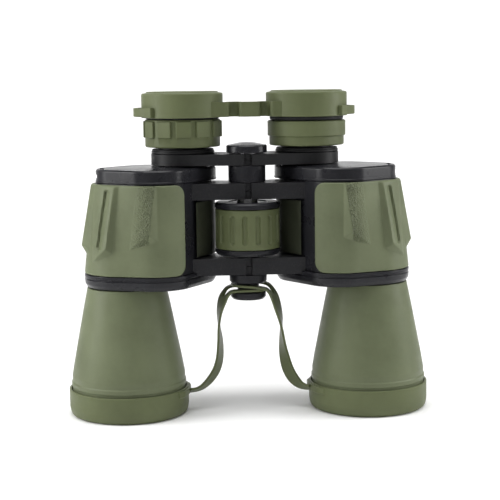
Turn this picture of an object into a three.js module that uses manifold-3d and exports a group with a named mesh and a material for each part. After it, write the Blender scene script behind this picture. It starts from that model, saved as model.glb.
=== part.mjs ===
// Astronomy binoculars: a 10x50 Porro-prism pair with rubber armour, standing on its objective caps.
// Millimetres, +Z up. The origin is on the floor, midway between the two barrels. X runs across the
// barrels with the left half at -X, -Y is the top side that carries the focus wheel, and the optical
// axes are vertical. Touching pieces keep a small running gap.
import * as THREE from 'three';
import { mergeVertices } from 'three/addons/utils/BufferGeometryUtils.js';
import Module from 'manifold-3d';

const wasm = await Module();
wasm.setup();

// ---- driving dimensions -------------------------------------------------------------------------
const GAP = 0.3;                      // clearance between neighbouring pieces
const ROUND = 24;                     // facets on a large round
const SMALL = 16;                     // facets on a small round

const HINGE = { x: 0, y: -2 };        // the folding axis, also the focus wheel's axis
const OBJECTIVE = { x: 64.9, y: 0 };  // objective axis, from the middle plane
const EYE = { x: 33.4, y: 10 };       // eyepiece axis, from the middle plane

// The folded light path turns twice through a right angle between the two axes.
const FOLD = {
  x: (OBJECTIVE.x + EYE.x) / 2 - (EYE.y - OBJECTIVE.y) / 2,
  y: (OBJECTIVE.y + EYE.y) / 2 - (OBJECTIVE.x - EYE.x) / 2,
};

const CAP = { radius: 32, wall: 1.2, floor: 1.6, top: 14.3 };
const CAP_PAD = { proud: 1.2, low: 9.4, high: 13.7, front: -19, back: 8 };  // where the tether joins
const BARREL = { front: 3, top: 68.7, neck: 21, waist: 23.7, spigot: 18.6, spigotTop: 75.6 };
const FLANGE = { low: 69, high: 76.3 };
const HOUSING = { low: 76.6, high: 124.2, inset: 1.9, wall: 2.3, outerRadius: 22.2, lean: 5.1 };
const ARMOR = { low: 76.6, high: 123.9, thickness: 1.6, edgeX: 33.6 };
const INNER_PAD = { near: 10, far: 27.6, margin: 1 };
const COVER = { low: 124.5, rim: 131, high: 132.1, wall: 1.8 };
const SHELF = { low: 99.6, high: 101.4, window: 9 };
const PRISM = { radius: 9.8, ridgeCut: 1.2 };

const LOWER_ARM = { low: 74.7, high: 83.6 };
const UPPER_ARM = { low: 114.8, high: 123.3 };
const ARM_FRONT_Y = -12;
const ARM_GAP = 1.6;                  // half of the slot between the two halves' arms
const KNUCKLE_RADIUS = 8.4;
const KNUCKLE_CLEARANCE = 9;
const FOLD_CLEARANCE = 17;            // degrees cut from each arm behind the hinge

const BRIDGE = { low: 132.6, high: 138.4, ringRadius: 17.1, hubRadius: 10, slot: 2 };
const AXLE = { radius: 5.6, bore: 3.9, low: 74.7, high: 123.3 };
const SPINDLE = { radius: 3.5, low: 86, shoulder: 124.5, upperRadius: 5.1, high: 138.7 };
const WHEEL = { radius: 17.5, grip: 17.1, core: 13.3, low: 85, high: 113, disc: 3.1, bore: 5.9 };
const WHEEL_ROOM = { radius: 9, low: 90, high: 108 };  // hollow inside the wheel for the cross pin
const WHEEL_FLUTES = 15;
const FOCUS_TRAVEL = 8;
const PIN = { height: 93, radius: 1.2, length: 17 };   // the cross pin at the low end of its travel

const TUBE = { low: 113, radius: 12.9, seat: 15.1, flange: 16.9, flangeTop: 140.9, top: 150, neck: 13.4 };
const RING = { low: 142.1, band: 20.1, wide: 21, bore: 13.8, web: 151.2 };
const DIOPTRE_TOP = 156.7;
const FIXED_RING_TOP = 155.3;
const DIOPTRE_PADS = 12;
const EYECUP_TOP = 166.6;
const EYE_CAP = { radius: 21.8, low: 157.6, high: 171.4, wall: 1.1 };
const STRAP_LOOP = { low: 158.3, high: 162.9, radius: 16.8, wall: 1.6, offset: 9.3 };
const LINK = { halfLength: 11, front: -6, back: 2, low: 157.9, high: 166.2 };

const FOOT = { low: 70.4, high: 74.4, radius: 10 };
const KNOB = { low: 60.6, high: 64.6, radius: 9.5, neck: 5.8 };
const STUD = { radius: 3.1, low: 66, high: 73.8 };
const TETHER = { width: 8, thickness: 1.3, ringInner: 6.2, ringOuter: 9.3 };

// ---- materials ----------------------------------------------------------------------------------
const green = () => new THREE.MeshStandardMaterial({ color: 0x768060, roughness: 0.62, metalness: 0 });
const darkGreen = () => new THREE.MeshStandardMaterial({ color: 0x3c4131, roughness: 0.6, metalness: 0 });
const black = () => new THREE.MeshStandardMaterial({ color: 0x232328, roughness: 0.42, metalness: 0 });
const steel = () => new THREE.MeshStandardMaterial({ color: 0x9a9c9e, roughness: 0.3, metalness: 1 });
const anodised = () => new THREE.MeshStandardMaterial({ color: 0x1b1b1e, roughness: 0.5, metalness: 0.6 });
const coatedGlass = () => new THREE.MeshStandardMaterial({ color: 0x6f3a2c, roughness: 0.05, metalness: 0 });
const glass = () => new THREE.MeshStandardMaterial({ color: 0xcfe0dc, roughness: 0.04, metalness: 0 });

// ---- solids -------------------------------------------------------------------------------------
const asSolid = (shape) => (shape instanceof wasm.Manifold ? shape : toSolid(shape));

function toSolid(geometry) {
  const bare = geometry.index ? geometry.toNonIndexed() : geometry.clone();
  for (const name of Object.keys(bare.attributes)) {
    if (name !== 'position') bare.deleteAttribute(name);
  }
  const merged = mergeVertices(bare, 1e-3);
  const position = merged.attributes.position.array;
  const corners = [];
  let volume = 0;
  for (let i = 0; i < merged.index.count; i += 3) {
    const [a, b, c] = [0, 1, 2].map((k) => merged.index.getX(i + k));
    if (a === b || b === c || a === c) continue;
    corners.push(a, b, c);
    const [p, q, r] = [a, b, c].map((k) => new THREE.Vector3().fromArray(position, 3 * k));
    volume += p.dot(q.cross(r));
  }
  if (volume < 0) corners.reverse();
  const triVerts = Uint32Array.from(corners);
  return new wasm.Manifold(new wasm.Mesh({ numProp: 3, vertProperties: position, triVerts }));
}

function toGeometry(solid) {
  const mesh = solid.getMesh();
  const geometry = new THREE.BufferGeometry();
  geometry.setAttribute('position', new THREE.BufferAttribute(mesh.vertProperties, 3));
  geometry.setIndex(new THREE.BufferAttribute(mesh.triVerts, 1));
  geometry.computeVertexNormals();
  return geometry;
}

const join = (...shapes) => shapes.map(asSolid).reduce((whole, piece) => whole.add(piece));
const cut = (shape, ...tools) =>
  tools.map(asSolid).reduce((whole, tool) => whole.subtract(tool), asSolid(shape));
const common = (a, b) => asSolid(a).intersect(asSolid(b));

// A turned piece about a vertical axis; the profile is a list of [radius, height].
function turned(profile, segments = ROUND, x = 0, y = 0) {
  const points = profile.map(([radius, height]) => new THREE.Vector2(radius, height));
  return new THREE.LatheGeometry(points, segments).rotateX(Math.PI / 2).translate(x, y, 0);
}

// A closed ring profile from its outline, for a piece with a hole through it.
const ring = (profile, segments, x, y) => turned([...profile, profile[0]], segments, x, y);

function disc(x, y, radius, low, high, segments = ROUND) {
  const geometry = new THREE.CylinderGeometry(radius, radius, high - low, segments);
  return geometry.rotateX(Math.PI / 2).translate(x, y, (low + high) / 2);
}

function box(x0, x1, y0, y1, z0, z1) {
  const geometry = new THREE.BoxGeometry(Math.abs(x1 - x0), y1 - y0, z1 - z0);
  return geometry.translate((x0 + x1) / 2, (y0 + y1) / 2, (z0 + z1) / 2);
}

function slab(points, low, high) {
  const shape = new THREE.Shape(points.map(([x, y]) => new THREE.Vector2(x, y)));
  const geometry = new THREE.ExtrudeGeometry(shape, { depth: high - low, bevelEnabled: false });
  return geometry.translate(0, 0, low);
}

// The outline around a set of circles, one point for each direction that it faces.
function outline(side, circles, grow, count = 32) {
  const points = [];
  for (let i = 0; i < count; i += 1) {
    const angle = (2 * Math.PI * (i + 0.5)) / count;
    const [ux, uy] = [Math.cos(angle), Math.sin(angle)];
    const reach = circles.map((c) => side * c.x * ux + c.y * uy + c.r);
    const c = circles[reach.indexOf(Math.max(...reach))];
    points.push([side * c.x + (c.r + grow) * ux, c.y + (c.r + grow) * uy]);
  }
  return points;
}

// A closed solid between two outlines with matching points.
function loft(lowPoints, low, highPoints, high) {
  const count = lowPoints.length;
  const position = [...lowPoints.map((p) => [...p, low]), ...highPoints.map((p) => [...p, high])].flat();
  const index = [];
  for (let i = 0; i < count; i += 1) {
    const next = (i + 1) % count;
    index.push(i, next, count + next, i, count + next, count + i);
    if (i > 0 && i < count - 1) index.push(0, next, i, count, count + i, count + next);
  }
  const geometry = new THREE.BufferGeometry();
  geometry.setAttribute('position', new THREE.Float32BufferAttribute(position, 3));
  geometry.setIndex(index);
  return geometry;
}

// ---- the scene graph ----------------------------------------------------------------------------
const binoculars = new THREE.Group();

function add(name, shape, material) {
  const mesh = new THREE.Mesh(toGeometry(asSolid(shape)), material());
  mesh.name = name;
  binoculars.add(mesh);
}

// ---- prism housing outline ----------------------------------------------------------------------
// The plan is the outline around four circles; the outer one shrinks upward, so the side leans in.
const outerCircle = (height) => {
  const t = (height - FLANGE.high) / (HOUSING.high - FLANGE.high);
  return { x: OBJECTIVE.x, y: OBJECTIVE.y, r: HOUSING.outerRadius - HOUSING.lean * Math.max(0, t) };
};
const housingCircles = (height) => [
  outerCircle(height),
  { x: 49, y: -6.5, r: 21 },
  { x: EYE.x, y: EYE.y, r: 16.8 },
  { x: 52, y: 8, r: 20 },
];
const housingLoft = (side, grow, low, high) =>
  loft(outline(side, housingCircles(low), grow), low, outline(side, housingCircles(high), grow), high);

// One half's arm towards the hinge, in plan. It stops short of the middle, and behind the hinge it is
// cut back at an angle so that the two halves can fold together.
function armPlan(side) {
  const wedge = Math.tan(THREE.MathUtils.degToRad(FOLD_CLEARANCE));
  const points = [
    [ARM_GAP, ARM_FRONT_Y], [30, ARM_FRONT_Y], [30, 17], [24, 16],
    [ARM_GAP + 10 * wedge, HINGE.y + 10], [ARM_GAP, HINGE.y],
  ];
  const placed = points.map(([x, y]) => [side * x, y]);
  return side < 0 ? placed.reverse() : placed;
}

// An arm with its knuckle: the left half holds the upper knuckle of each pair and the right the lower.
function hingeArm(side, arm, body, bore) {
  const middle = (arm.low + arm.high) / 2;
  const own = side < 0 ? [middle + GAP / 2, arm.high] : [arm.low, middle - GAP / 2];
  const other = side < 0 ? [arm.low - 1, middle + GAP / 2] : [middle - GAP / 2, arm.high + 1];
  const cleared = cut(body, disc(HINGE.x, HINGE.y, KNUCKLE_CLEARANCE, ...other, SMALL));
  const knuckle = disc(HINGE.x, HINGE.y, KNUCKLE_RADIUS, ...own, SMALL);
  return cut(join(cleared, knuckle), disc(HINGE.x, HINGE.y, bore, arm.low - 1, arm.high + 1, SMALL));
}

function prismHousing(side) {
  const outer = housingLoft(side, -HOUSING.inset, HOUSING.low, HOUSING.high);
  const inner = housingLoft(side, -HOUSING.inset - HOUSING.wall, HOUSING.low - 3, HOUSING.high + 1);
  const arms = [LOWER_ARM, UPPER_ARM].map((arm) =>
    hingeArm(side, arm, slab(armPlan(side), arm.low, arm.high), AXLE.radius + GAP));
  const tubeBore = disc(side * EYE.x, EYE.y, TUBE.radius + GAP, TUBE.low - 2, HOUSING.high + 1);
  return cut(join(outer, ...arms), inner, tubeBore);
}

// The space that an arm takes in a neighbouring piece, with clearance all round.
function armSpace(side, arm) {
  return box(side * 0.5, side * 40, ARM_FRONT_Y - GAP, 18, arm.low - GAP, arm.high + GAP);
}

function rubberArmor(side) {
  const outer = housingLoft(side, 0, ARMOR.low, ARMOR.high);
  const inner = housingLoft(side, -ARMOR.thickness, ARMOR.low - 1, ARMOR.high + 1);
  return cut(outer, inner, box(0, side * ARMOR.edgeX, -60, 60, ARMOR.low - 1, ARMOR.high + 1));
}

// The strip of dark rubber round the inner end of the housing, between the two arms.
function innerPad(side) {
  const low = LOWER_ARM.high + INNER_PAD.margin;
  const high = UPPER_ARM.low - INNER_PAD.margin;
  const outer = housingLoft(side, 0, low, high);
  const inner = housingLoft(side, -ARMOR.thickness, low - 1, high + 1);
  const strip = box(side * INNER_PAD.near, side * INNER_PAD.far, -60, 60, low - 1, high + 1);
  return common(cut(outer, inner), strip);
}

const coverCircles = [
  { x: OBJECTIVE.x, y: OBJECTIVE.y, r: 15 },
  { x: 49, y: -6.5, r: 19.2 },
  { x: EYE.x, y: EYE.y, r: 17.5 },
  { x: 52, y: 8, r: 18.4 },
];

function topCover(side) {
  const plan = (grow) => outline(side, coverCircles, grow);
  const shell = cut(
    join(
      slabOf(plan(0), COVER.low, COVER.rim),
      loft(plan(0), COVER.rim, plan(-1.2), COVER.high),
    ),
    slabOf(plan(-COVER.wall), COVER.low - 1, COVER.rim - 0.8),
  );
  const sleeve = disc(side * EYE.x, EYE.y, TUBE.radius + 2.2, COVER.low, COVER.high);
  const strapBoss = common(
    box(side * 70, side * 82, -6, 6, COVER.low, COVER.rim),
    slabOf(plan(-0.2), COVER.low, COVER.rim),
  );
  return cut(
    join(shell, sleeve, strapBoss),
    disc(side * EYE.x, EYE.y, TUBE.radius + GAP, COVER.low - 1, COVER.high + 1),
    box(side * 75.4, side * 77.6, -4.5, 4.5, COVER.low + 2, COVER.high + 1),
    box(side * 75.4, side * 82, -4.5, 4.5, COVER.low + 2, COVER.low + 4.2),
  );
}

function slabOf(points, low, high) {
  return loft(points, low, points, high);
}

function lowerFlange(side) {
  const plan = (grow) => outline(side, housingCircles(FLANGE.high), grow);
  const body = join(
    loft(plan(-1.2), FLANGE.low, plan(0), FLANGE.low + 2),
    slabOf(plan(0), FLANGE.low + 2, FLANGE.high),
  );
  const hollow = slabOf(plan(-HOUSING.inset - HOUSING.wall), FLANGE.low + 2.4, FLANGE.high + 1);
  const boss = disc(side * OBJECTIVE.x, OBJECTIVE.y, BARREL.spigot + 2.6, FLANGE.low + 1, FLANGE.high);
  const bore = disc(side * OBJECTIVE.x, OBJECTIVE.y, BARREL.spigot + GAP, FLANGE.low - 1, FLANGE.high + 1);
  return cut(
    join(cut(body, hollow), common(boss, slabOf(plan(-1), FLANGE.low, FLANGE.high))),
    bore,
    armSpace(side, LOWER_ARM),
  );
}

// ---- objective end ------------------------------------------------------------------------------
function objectiveBarrel(side) {
  const profile = [
    [28.8, BARREL.front], [30.1, BARREL.front + 0.5], [30.3, 5], [30.3, 15.4],
    [30.6, 16.1], [30.6, 17.9], [30.2, 18.6], [30.2, 21], [29.2, 28], [BARREL.waist, 55],
    [BARREL.neck, BARREL.top], [BARREL.spigot, BARREL.top], [BARREL.spigot, BARREL.spigotTop],
    [16.6, BARREL.spigotTop], [16.6, 68], [25, 30], [24.2, 27.6], [24.2, 26.3],
    [25.8, 26.3], [25.8, 10], [27.6, BARREL.front],
  ];
  return ring(profile, ROUND, side * OBJECTIVE.x, OBJECTIVE.y);
}

const lensRadius = 25.4;
const crownLens = [
  [0, 17.4], [9, 17.75], [18, 18.8], [lensRadius, 20.4],
  [lensRadius, 22], [18, 23.1], [9, 23.9], [0, 24.2],
];
const flintLens = [[0, 24.5], [9, 24.2], [18, 23.4], [lensRadius, 22.3], [lensRadius, 26], [0, 26]];
const lensRing = [[25.5, 16.4], [25.5, 19.7], [23.6, 19.7], [23.6, 16.4]];

function objectiveCap(side) {
  const { radius, wall, floor, top } = CAP;
  const cup = turned([
    [0, 0], [29.6, 0], [31.3, 0.8], [radius, 2.6], [radius, top],
    [radius - wall, top], [radius - wall, floor + 0.8], [radius - wall - 0.9, floor], [0, floor],
  ], ROUND, side * OBJECTIVE.x, OBJECTIVE.y);
  const band = ring([
    [radius - 0.5, CAP_PAD.low], [radius + CAP_PAD.proud, CAP_PAD.low],
    [radius + CAP_PAD.proud, CAP_PAD.high], [radius - 0.5, CAP_PAD.high],
  ], 2 * ROUND, side * OBJECTIVE.x, OBJECTIVE.y);
  const innerSide = box(0, side * (OBJECTIVE.x - 20), CAP_PAD.front, CAP_PAD.back, 0, CAP.top);
  return join(cup, common(band, innerSide));
}

// ---- tethers ------------------------------------------------------------------------------------
// A flat moulded strap, swept along a curve through points of [distance from the middle plane, y, z,
// turn]. Its width lies along Y, turned about the curve by the angle given for each point.
function strap(side, route) {
  const curve = new THREE.CatmullRomCurve3(route.map(([x, y, z]) => new THREE.Vector3(side * x, y, z)));
  const steps = 18;
  const position = [];
  const index = [];
  for (let i = 0; i <= steps; i += 1) {
    const t = curve.getUtoTmapping(i / steps);
    const centre = curve.getPoint(t);
    const along = curve.getTangent(t);
    const before = Math.min(Math.floor(t * (route.length - 1)), route.length - 2);
    const part = t * (route.length - 1) - before;
    const degrees = THREE.MathUtils.lerp(route[before][3], route[before + 1][3], part);
    const turn = THREE.MathUtils.degToRad(degrees);
    const down = new THREE.Vector3(0, 1, 0).cross(along).normalize().multiplyScalar(side);
    const across = new THREE.Vector3(0, Math.cos(turn), 0).addScaledVector(down, Math.sin(turn));
    const normal = along.clone().cross(across).normalize();
    for (const [u, v] of [[-1, -1], [1, -1], [1, 1], [-1, 1]]) {
      const corner = centre.clone()
        .addScaledVector(across, u * TETHER.width / 2)
        .addScaledVector(normal, v * TETHER.thickness / 2);
      position.push(corner.x, corner.y, corner.z);
    }
    for (let k = 0; k < 4 && i < steps; k += 1) {
      const [a, b] = [4 * i + k, 4 * i + (k + 1) % 4];
      index.push(a, b, b + 4, a, b + 4, a + 4);
    }
  }
  const last = 4 * steps;
  index.push(0, 2, 1, 0, 3, 2, last, last + 1, last + 2, last, last + 2, last + 3);
  const geometry = new THREE.BufferGeometry();
  geometry.setAttribute('position', new THREE.Float32BufferAttribute(position, 3));
  geometry.setIndex(index);
  return geometry;
}

// Each strap runs from its ring around the hinge foot to just short of the pad on its cap.
const tetherRoutes = {
  left: { ringHeight: 65.6, route: [
    [8.6, -2, 65.6, 0], [10.6, -2, 65.3, -1], [12.5, -2, 63.8, -4], [14.3, -2, 60.4, -8],
    [16.1, -2, 53.5, -8], [16.2, -2, 46, 4], [15.6, -2, 37, 20], [16, -2, 28.5, 29], [17.8, -2, 22, 34],
    [21, -2.2, 16.8, 35], [24.9, -2.8, 13, 33], [29.6, -4, 11.4, 37],
  ] },
  right: { ringHeight: 68.8, route: [
    [8.6, -2, 68.8, 0], [11.8, -2, 65.2, -14], [13.6, -2, 60.8, -30], [16, -2, 54.5, -28],
    [17.5, -2, 48.5, -16], [17.8, -2, 43, 0], [18.2, -2, 36, 14], [19.1, -2, 28.8, 30],
    [20.8, -2, 22, 40], [23.4, -2.2, 16.4, 44], [26.8, -2.8, 12.4, 42], [29.6, -3.6, 11.1, 42],
  ] },
};

function capTether(side, { ringHeight, route }) {
  const half = TETHER.thickness / 2;
  const eye = ring([
    [TETHER.ringInner, ringHeight - half], [TETHER.ringOuter, ringHeight - half],
    [TETHER.ringOuter, ringHeight + half], [TETHER.ringInner, ringHeight + half],
  ], SMALL, HINGE.x, HINGE.y);
  return join(eye, strap(side, route));
}

// ---- prisms -------------------------------------------------------------------------------------
// A right-angle prism lies on its long face between two axes; each end is rounded in plan.
function porroPrism(side, from, to, faceHeight, upward) {
  const start = new THREE.Vector2(side * from.x, from.y);
  const end = new THREE.Vector2(side * to.x, to.y);
  const along = end.clone().sub(start);
  const length = along.length();
  const reach = length / 2 + PRISM.radius;
  const flat = PRISM.ridgeCut;
  const shape = new THREE.Shape([
    new THREE.Vector2(-reach, 0), new THREE.Vector2(reach, 0),
    new THREE.Vector2(flat, reach - flat), new THREE.Vector2(-flat, reach - flat),
  ]);
  const wedge = new THREE.ExtrudeGeometry(shape, { depth: 2 * PRISM.radius, bevelEnabled: false });
  wedge.translate(0, 0, -PRISM.radius).rotateX(upward ? Math.PI / 2 : -Math.PI / 2);
  wedge.rotateZ(Math.atan2(along.y, along.x));
  const middle = start.clone().add(end).multiplyScalar(0.5);
  wedge.translate(middle.x, middle.y, faceHeight);
  const ends = [start, end].map((p) => ({ x: p.x, y: p.y, r: PRISM.radius }));
  const low = upward ? faceHeight : faceHeight - reach;
  return common(wedge, slabOf(outline(1, ends, 0, 20), low - 1, low + reach + 1));
}

function prismShelf(side) {
  const inset = HOUSING.inset + HOUSING.wall + 2 * GAP;
  const plan = outline(side, housingCircles((SHELF.low + SHELF.high) / 2), -inset);
  const windows = [OBJECTIVE, FOLD, EYE].map((axis) =>
    disc(side * axis.x, axis.y, SHELF.window, SHELF.low - 1, SHELF.high + 1, SMALL));
  return cut(slabOf(plan, SHELF.low, SHELF.high), ...windows);
}

// ---- eyepieces ----------------------------------------------------------------------------------
const eyepieceTube = [
  [11.4, TUBE.low], [TUBE.radius, TUBE.low], [TUBE.radius, BRIDGE.low + 0.2], [TUBE.seat, BRIDGE.low + 0.2],
  [TUBE.seat, BRIDGE.high + GAP], [TUBE.flange, BRIDGE.high + GAP], [TUBE.flange, TUBE.flangeTop],
  [TUBE.neck, TUBE.flangeTop], [TUBE.neck, TUBE.top], [12.2, TUBE.top], [12.2, 133.4], [11.4, 133.4],
];
const fieldLens = [[0, 134.4], [6, 134.7], [11.8, 136], [11.8, 138.2], [6, 139.3], [0, 139.7]];
const ocularCell = [
  [10, 141], [11.9, 141], [11.9, 156.2], [9.2, 156.2],
  [9.2, 155.2], [10.7, 155.2], [10.7, 149.6], [10, 149.6],
];
const eyeLens = [[0, 149.9], [10.3, 150.4], [10.3, 152.2], [5.5, 154], [0, 154.6]];

const dioptreRing = [
  [RING.bore, RING.low], [19.7, RING.low], [RING.band, RING.low + 0.5], [RING.band, DIOPTRE_TOP - 0.4],
  [19.7, DIOPTRE_TOP], [12.3, DIOPTRE_TOP], [12.3, RING.web], [RING.bore, RING.web],
];
const fixedRing = [
  [RING.bore, RING.low], [19.7, RING.low], [RING.band, RING.low + 0.5], [RING.band, 147.1],
  [RING.wide, 147.1], [RING.wide, FIXED_RING_TOP - 0.5], [20.5, FIXED_RING_TOP], [12.3, FIXED_RING_TOP],
  [12.3, RING.web], [RING.bore, RING.web],
];

function padRing() {
  const pads = [];
  for (let i = 0; i < DIOPTRE_PADS; i += 1) {
    const pad = box(18.5, RING.wide, -4.05, 4.05, 147.2, 155.9);
    pads.push(pad.rotateZ((2 * Math.PI * i) / DIOPTRE_PADS + Math.PI / DIOPTRE_PADS + 0.26));
  }
  const padded = join(turned([...dioptreRing, dioptreRing[0]]), ...pads);
  return padded.translate([-EYE.x, EYE.y, 0]);
}

function eyecup(side, low) {
  const profile = [
    [17.4, low], [19.5, low], [19.9, low + 1.2], [19.4, EYECUP_TOP - 0.6], [19, EYECUP_TOP],
    [17.9, EYECUP_TOP], [17.4, EYECUP_TOP - 0.6],
  ];
  return ring(profile, ROUND, side * EYE.x, EYE.y);
}

// A slip-on eyepiece cap with a loop on its outer side for a neck strap.
function eyepieceCap(side) {
  const { radius, wall, low, high } = EYE_CAP;
  const x = side * EYE.x;
  const loopX = x + side * STRAP_LOOP.offset;
  const cup = turned([
    [0, high - 1.6], [radius - 2, high - 1.6], [radius - wall, high - 2.4], [radius - wall, low],
    [radius, low], [radius, high - 1.6], [radius - 0.4, high - 0.8], [radius - 2.6, high], [0, high],
  ], ROUND, x, EYE.y);
  const loop = cut(
    disc(loopX, EYE.y, STRAP_LOOP.radius, STRAP_LOOP.low, STRAP_LOOP.high),
    disc(loopX, EYE.y, STRAP_LOOP.radius - STRAP_LOOP.wall, STRAP_LOOP.low - 1, STRAP_LOOP.high + 1),
    disc(x, EYE.y, radius - wall / 2, STRAP_LOOP.low - 1, STRAP_LOOP.high + 1),
  );
  return join(cup, loop);
}

function bridgeArm(side) {
  const circles = [{ ...EYE, r: BRIDGE.ringRadius }, { ...HINGE, r: BRIDGE.hubRadius }];
  const plan = slabOf(outline(side, circles, 0), BRIDGE.low, BRIDGE.high);
  const wedge = Math.tan(THREE.MathUtils.degToRad(FOLD_CLEARANCE));
  const keep = [[BRIDGE.slot, -40], [80, -40], [80, 40], [BRIDGE.slot + (40 - HINGE.y) * wedge, 40]];
  keep.push([BRIDGE.slot, HINGE.y]);
  const placed = keep.map(([x, y]) => [side * x, y]);
  const half = common(plan, slab(side < 0 ? placed.reverse() : placed, BRIDGE.low, BRIDGE.high));
  const arm = hingeArm(side, BRIDGE, half, SPINDLE.upperRadius + GAP);
  return cut(arm, disc(side * EYE.x, EYE.y, TUBE.seat + GAP, BRIDGE.low - 1, BRIDGE.high + 1));
}

// ---- hinge and focus drive ----------------------------------------------------------------------
const onHinge = (profile, segments) => turned(profile, segments, HINGE.x, HINGE.y);
const ringOnHinge = (profile, segments) => ring(profile, segments, HINGE.x, HINGE.y);

function hingeAxle() {
  const tube = ringOnHinge([
    [AXLE.bore, AXLE.low], [AXLE.radius, AXLE.low], [AXLE.radius, AXLE.high], [AXLE.bore, AXLE.high],
  ], SMALL);
  const halfSlot = PIN.radius + 0.4;
  const slotLow = PIN.height - halfSlot - 0.4;
  const slotHigh = PIN.height + FOCUS_TRAVEL + halfSlot + 0.4;
  return cut(tube, box(-10, 10, HINGE.y - halfSlot, HINGE.y + halfSlot, slotLow, slotHigh));
}

function wheelGrip() {
  const low = WHEEL.low + WHEEL.disc + GAP;
  const high = WHEEL.high - WHEEL.disc - GAP;
  const sleeve = turned([
    [WHEEL.core + GAP, low], [WHEEL.grip - 0.4, low], [WHEEL.grip, low + 0.4], [WHEEL.grip, high - 0.4],
    [WHEEL.grip - 0.4, high], [WHEEL.core + GAP, high], [WHEEL.core + GAP, low],
  ], 2 * WHEEL_FLUTES);
  const flutes = [];
  for (let i = 0; i < WHEEL_FLUTES; i += 1) {
    const flute = box(WHEEL.grip - 0.7, WHEEL.grip + 1, -1.35, 1.35, low + 3, high - 3);
    flutes.push(flute.rotateZ((2 * Math.PI * i) / WHEEL_FLUTES));
  }
  return cut(sleeve, ...flutes).translate([HINGE.x, HINGE.y, 0]);
}

const wheelHub = [
  [WHEEL.bore, WHEEL.low], [16.2, WHEEL.low],
  [WHEEL.radius, WHEEL.low + 1.4], [WHEEL.radius, WHEEL.low + WHEEL.disc],
  [WHEEL.core, WHEEL.low + WHEEL.disc], [WHEEL.core, WHEEL.high - WHEEL.disc],
  [WHEEL.radius, WHEEL.high - WHEEL.disc], [WHEEL.radius, WHEEL.high - 0.8], [16.4, WHEEL.high],
  [WHEEL.bore, WHEEL.high], [WHEEL.bore, WHEEL_ROOM.high], [WHEEL_ROOM.radius, WHEEL_ROOM.high],
  [WHEEL_ROOM.radius, WHEEL_ROOM.low], [WHEEL.bore, WHEEL_ROOM.low],
];
const spindle = [
  [0, SPINDLE.low], [SPINDLE.radius, SPINDLE.low], [SPINDLE.radius, SPINDLE.shoulder],
  [SPINDLE.upperRadius, SPINDLE.shoulder], [SPINDLE.upperRadius, SPINDLE.high], [0, SPINDLE.high],
];
const collar = [
  [SPINDLE.upperRadius + GAP, 123.6], [9.9, 123.6], [9.9, 132.3], [SPINDLE.upperRadius + GAP, 132.3],
];
const bridgeKnob = [
  [0, 139], [10.8, 139], [10.8, 142.4], [10.2, 143.1], [7.3, 143.4], [4, 144.3], [0, 144.6],
];
const foot = [
  [STUD.radius + GAP, FOOT.low], [8.2, FOOT.low], [FOOT.radius, FOOT.low + 2.6], [FOOT.radius, FOOT.high],
  [STUD.radius + GAP, FOOT.high],
];
const socketCover = [
  [0, KNOB.low], [8.3, KNOB.low], [KNOB.radius, KNOB.low + 1.2], [KNOB.radius, KNOB.high],
  [KNOB.neck, KNOB.high], [KNOB.neck, FOOT.low - GAP], [STUD.radius + GAP, FOOT.low - GAP],
  [STUD.radius + GAP, STUD.low - GAP], [0, STUD.low - GAP],
];
const stud = [[0, STUD.low], [STUD.radius, STUD.low], [STUD.radius, STUD.high], [0, STUD.high]];

// The cross pin passes through the spindle and the axle's slots, and the wheel's inner thread lifts it.
function crossPin(radius) {
  const pin = new THREE.CylinderGeometry(radius, radius, PIN.length, 12).rotateZ(Math.PI / 2);
  return pin.translate(HINGE.x, HINGE.y, PIN.height);
}

// ---- the two halves -----------------------------------------------------------------------------
for (const [name, side] of [['left', -1], ['right', 1]]) {
  const atObjective = (profile) => turned(profile, ROUND, side * OBJECTIVE.x, OBJECTIVE.y);
  const atEye = (profile) => turned(profile, SMALL + 4, side * EYE.x, EYE.y);
  const ringAtEye = (profile) => ring(profile, ROUND, side * EYE.x, EYE.y);

  add(`${name}_prism_housing`, prismHousing(side), black);
  add(`${name}_rubber_armor`, rubberArmor(side), green);
  add(`${name}_inner_pad`, innerPad(side), darkGreen);
  add(`${name}_top_cover`, topCover(side), black);
  add(`${name}_lower_flange`, lowerFlange(side), black);
  add(`${name}_prism_shelf`, prismShelf(side), anodised);
  add(`${name}_upper_prism`, porroPrism(side, OBJECTIVE, FOLD, SHELF.high + GAP, true), glass);
  add(`${name}_lower_prism`, porroPrism(side, FOLD, EYE, SHELF.low - GAP, false), glass);

  add(`${name}_objective_barrel`, objectiveBarrel(side), green);
  add(`${name}_crown_lens`, atObjective(crownLens), coatedGlass);
  add(`${name}_flint_lens`, atObjective(flintLens), glass);
  add(`${name}_lens_ring`, ring(lensRing, SMALL, side * OBJECTIVE.x, OBJECTIVE.y), anodised);
  add(`${name}_objective_cap`, objectiveCap(side), green);
  add(`${name}_cap_tether`, capTether(side, tetherRoutes[name]), green);

  add(`${name}_bridge_arm`, bridgeArm(side), black);
  add(`${name}_eyepiece_tube`, ringAtEye(eyepieceTube), black);
  add(`${name}_field_lens`, atEye(fieldLens), glass);
  add(`${name}_ocular_cell`, ringAtEye(ocularCell), black);
  add(`${name}_eye_lens`, atEye(eyeLens), coatedGlass);
  add(`${name}_eyepiece_cap`, eyepieceCap(side), green);
}

add('left_dioptre_ring', padRing(), green);
add('right_eyepiece_ring', ring(fixedRing, ROUND, EYE.x, EYE.y), green);
add('left_eyecup', eyecup(-1, DIOPTRE_TOP + GAP), black);
add('right_eyecup', eyecup(1, FIXED_RING_TOP + GAP), black);
const link = box(-LINK.halfLength, LINK.halfLength, LINK.front, LINK.back, LINK.low, LINK.high);
add('eyepiece_cap_link', link, green);

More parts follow.
